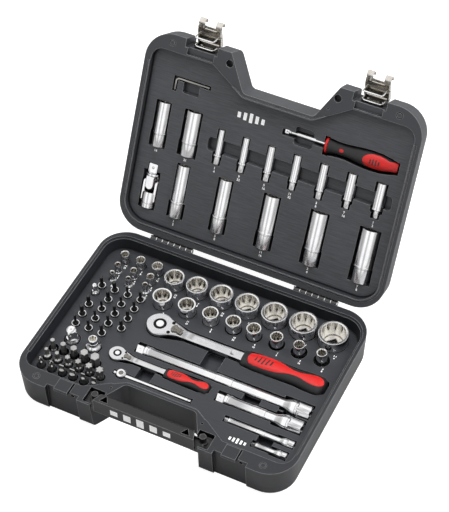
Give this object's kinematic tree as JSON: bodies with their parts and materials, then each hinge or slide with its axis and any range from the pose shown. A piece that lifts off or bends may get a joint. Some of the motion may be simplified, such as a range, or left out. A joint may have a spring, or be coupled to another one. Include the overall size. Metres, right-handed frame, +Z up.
{
  "type": "socket wrench set in case",
  "caption": "Moulded carry case with hinged lid, latches and handle, fitted with ratchets, sockets, bits and extensions in moulded trays.",
  "frame": {"origin": "centre of the flat underside of the case base, which stands on z = 0", "axes": "+X to the right seen from the handle side, -Y towards the handle and latches, +Y towards the lid hinges, +Z up"},
  "size_m": [0.4, 0.4558, 0.3371],
  "materials": {
    "case_plastic": "fine grained moulded, charcoal",
    "tray_plastic": "fine grained moulded, charcoal",
    "handle_plastic": "satin moulded",
    "hinge_steel": "black coated steel",
    "latch_nickel": "nickel plated pressed steel",
    "tool_chrome": "satin to polished chrome plate",
    "lever_steel": "dark sintered steel",
    "grip_rubber": "soft matte black",
    "red_plastic": "red, semi-gloss",
    "bit_steel": "satin steel",
    "black_steel": "black phosphated steel"
  },
  "bodies": {
    "case": {"base_shell": "case_plastic", "base_tray": "tray_plastic", "handle": "handle_plastic", "hinge_base_leaves": "hinge_steel", "hinge_pins": "hinge_steel"},
    "lid": {"lid_shell": "case_plastic", "lid_tray": "tray_plastic", "hinge_lid_leaves": "hinge_steel", "left_latch_bracket": "latch_nickel", "right_latch_bracket": "latch_nickel", "latch_pins": "latch_nickel"},
    "left_lever": {"left_latch_lever": "latch_nickel"},
    "right_lever": {"right_latch_lever": "latch_nickel"},
    "left_bail": {"left_latch_bail": "latch_nickel"},
    "right_bail": {"right_latch_bail": "latch_nickel"},
    "large_ratchet": {"large_ratchet_body": "tool_chrome", "large_ratchet_grip": "grip_rubber", "large_ratchet_inlay": "red_plastic"},
    "large_drive": {"large_ratchet_drive": "tool_chrome"},
    "large_button": {"large_ratchet_button": "tool_chrome"},
    "large_direction_lever": {"large_ratchet_lever": "lever_steel"},
    "small_ratchet": {"small_ratchet_body": "tool_chrome", "small_ratchet_grip": "grip_rubber", "small_ratchet_inlay": "red_plastic"},
    "small_drive": {"small_ratchet_drive": "tool_chrome"},
    "small_button": {"small_ratchet_button": "tool_chrome"},
    "small_direction_lever": {"small_ratchet_lever": "lever_steel"},
    "long_extension": {"long_extension": "tool_chrome"},
    "short_extension": {"short_extension": "tool_chrome"},
    "long_quarter_extension": {"long_quarter_extension": "tool_chrome"},
    "short_quarter_extension": {"short_quarter_extension": "tool_chrome"},
    "t_bar": {"t_bar_rod": "tool_chrome", "t_bar_head": "tool_chrome"},
    "half_adaptor": {"half_inch_adaptor": "tool_chrome"},
    "bit_holder": {"bit_holder": "tool_chrome"},
    "quarter_adaptor": {"quarter_inch_adaptor": "tool_chrome"},
    "hex_bits": {"hex_bits": "bit_steel"},
    "star_bits": {"star_bits": "bit_steel"},
    "cross_and_slot_bits": {"cross_and_slot_bits": "bit_steel"},
    "bit_sockets": {"bit_socket_collars": "tool_chrome", "bit_socket_tips": "black_steel"},
    "quarter_sockets": {"quarter_inch_sockets": "tool_chrome"},
    "back_sockets": {"half_inch_sockets_back_row": "tool_chrome"},
    "front_sockets": {"half_inch_sockets_front_row": "tool_chrome"},
    "spark_sockets": {"spark_plug_sockets": "tool_chrome"},
    "deep_sockets": {"half_inch_deep_sockets": "tool_chrome"},
    "deep_quarter_sockets": {"quarter_inch_deep_sockets": "tool_chrome"},
    "universal_joint": {"joint_socket_yoke": "tool_chrome"},
    "joint_head": {"joint_cross": "tool_chrome", "joint_drive_yoke": "tool_chrome"},
    "spinner": {"spinner_shaft": "tool_chrome", "spinner_grip": "grip_rubber", "spinner_collar": "red_plastic", "spinner_badge": "red_plastic"},
    "hex_key": {"hex_key": "tool_chrome"}
  },
  "joints": [
    {"name": "lid_hinge", "type": "hinge", "parent": "case", "child": "lid", "pos_m": [0, 0.1476, 0.0475], "axis": [-1, 0, 0], "range_deg": [-117.2, 0]},
    {"name": "left_latch_lever", "type": "hinge", "parent": "lid", "child": "left_lever", "pos_m": [-0.121, 0.30328, 0.28916], "axis": [-1, 0, 0], "range_deg": [-57, 0]},
    {"name": "left_latch_bail", "type": "hinge", "parent": "left_lever", "child": "left_bail", "pos_m": [-0.121, 0.30355, 0.30427], "axis": [1, 0, 0], "range_deg": [-67, 0]},
    {"name": "right_latch_lever", "type": "hinge", "parent": "lid", "child": "right_lever", "pos_m": [0.121, 0.30328, 0.28916], "axis": [-1, 0, 0], "range_deg": [-57, 0]},
    {"name": "right_latch_bail", "type": "hinge", "parent": "right_lever", "child": "right_bail", "pos_m": [0.121, 0.30355, 0.30427], "axis": [1, 0, 0], "range_deg": [-67, 0]},
    {"name": "large_ratchet_lift", "type": "slide", "parent": "case", "child": "large_ratchet", "axis": [0, 0, 1], "range_m": [0, 0.04]},
    {"name": "small_ratchet_lift", "type": "slide", "parent": "case", "child": "small_ratchet", "axis": [0, 0, 1], "range_m": [0, 0.035]},
    {"name": "long_extension_lift", "type": "slide", "parent": "case", "child": "long_extension", "axis": [0, 0, 1], "range_m": [0, 0.035]},
    {"name": "short_extension_lift", "type": "slide", "parent": "case", "child": "short_extension", "axis": [0, 0, 1], "range_m": [0, 0.035]},
    {"name": "long_quarter_extension_lift", "type": "slide", "parent": "case", "child": "long_quarter_extension", "axis": [0, 0, 1], "range_m": [0, 0.035]},
    {"name": "short_quarter_extension_lift", "type": "slide", "parent": "case", "child": "short_quarter_extension", "axis": [0, 0, 1], "range_m": [0, 0.035]},
    {"name": "t_bar_lift", "type": "slide", "parent": "case", "child": "t_bar", "axis": [0, 0, 1], "range_m": [0, 0.035]},
    {"name": "half_adaptor_lift", "type": "slide", "parent": "case", "child": "half_adaptor", "axis": [0, 0, 1], "range_m": [0, 0.04]},
    {"name": "bit_holder_lift", "type": "slide", "parent": "case", "child": "bit_holder", "axis": [0, 0, 1], "range_m": [0, 0.04]},
    {"name": "quarter_adaptor_lift", "type": "slide", "parent": "case", "child": "quarter_adaptor", "axis": [0, 0, 1], "range_m": [0, 0.04]},
    {"name": "hex_bits_lift", "type": "slide", "parent": "case", "child": "hex_bits", "axis": [0, 0, 1], "range_m": [0, 0.03]},
    {"name": "star_bits_lift", "type": "slide", "parent": "case", "child": "star_bits", "axis": [0, 0, 1], "range_m": [0, 0.03]},
    {"name": "cross_and_slot_bits_lift", "type": "slide", "parent": "case", "child": "cross_and_slot_bits", "axis": [0, 0, 1], "range_m": [0, 0.03]},
    {"name": "bit_sockets_lift", "type": "slide", "parent": "case", "child": "bit_sockets", "axis": [0, 0, 1], "range_m": [0, 0.03]},
    {"name": "quarter_sockets_lift", "type": "slide", "parent": "case", "child": "quarter_sockets", "axis": [0, 0, 1], "range_m": [0, 0.03]},
    {"name": "back_sockets_lift", "type": "slide", "parent": "case", "child": "back_sockets", "axis": [0, 0, 1], "range_m": [0, 0.04]},
    {"name": "front_sockets_lift", "type": "slide", "parent": "case", "child": "front_sockets", "axis": [0, 0, 1], "range_m": [0, 0.04]},
    {"name": "spark_sockets_lift", "type": "slide", "parent": "lid", "child": "spark_sockets", "axis": [0, -0.8894, 0.4571], "range_m": [0, 0.035]},
    {"name": "deep_sockets_lift", "type": "slide", "parent": "lid", "child": "deep_sockets", "axis": [0, -0.8894, 0.4571], "range_m": [0, 0.035]},
    {"name": "deep_quarter_sockets_lift", "type": "slide", "parent": "lid", "child": "deep_quarter_sockets", "axis": [0, -0.8894, 0.4571], "range_m": [0, 0.035]},
    {"name": "universal_joint_lift", "type": "slide", "parent": "lid", "child": "universal_joint", "axis": [0, -0.8894, 0.4571], "range_m": [0, 0.035]},
    {"name": "spinner_lift", "type": "slide", "parent": "lid", "child": "spinner", "axis": [0, -0.8894, 0.4571], "range_m": [0, 0.035]},
    {"name": "hex_key_lift", "type": "slide", "parent": "lid", "child": "hex_key", "axis": [0, -0.8894, 0.4571], "range_m": [0, 0.035]},
    {"name": "joint_knuckle", "type": "hinge", "parent": "universal_joint", "child": "joint_head", "pos_m": [-0.162, 0.19498, 0.1025], "axis": [1, 0, 0], "range_deg": [0, 30]},
    {"name": "large_drive_turn", "type": "hinge", "parent": "large_ratchet", "child": "large_drive", "pos_m": [-0.064, 0.0245, 0.0345], "axis": [0, 0, 1], "continuous": true},
    {"name": "large_release_button", "type": "slide", "parent": "large_drive", "child": "large_button", "axis": [0, 0, -1], "range_m": [0, 0.0015], "stiffness_N_per_m": 400},
    {"name": "large_direction", "type": "hinge", "parent": "large_ratchet", "child": "large_direction_lever", "pos_m": [-0.041, 0.0245, 0.0345], "axis": [0, 0, 1], "range_deg": [-20, 40]},
    {"name": "small_drive_turn", "type": "hinge", "parent": "small_ratchet", "child": "small_drive", "pos_m": [-0.093, -0.0425, 0.0325], "axis": [0, 0, 1], "continuous": true},
    {"name": "small_release_button", "type": "slide", "parent": "small_drive", "child": "small_button", "axis": [0, 0, -1], "range_m": [0, 0.0015], "stiffness_N_per_m": 400},
    {"name": "small_direction", "type": "hinge", "parent": "small_ratchet", "child": "small_direction_lever", "pos_m": [-0.0794, -0.0425, 0.0325], "axis": [0, 0, 1], "range_deg": [-20, 40]}
  ],
  "couplings": [
    {"joint": "left_latch_bail", "follows": "left_latch_lever", "ratio": 1.1754},
    {"joint": "right_latch_bail", "follows": "right_latch_lever", "ratio": 1.1754}
  ]
}
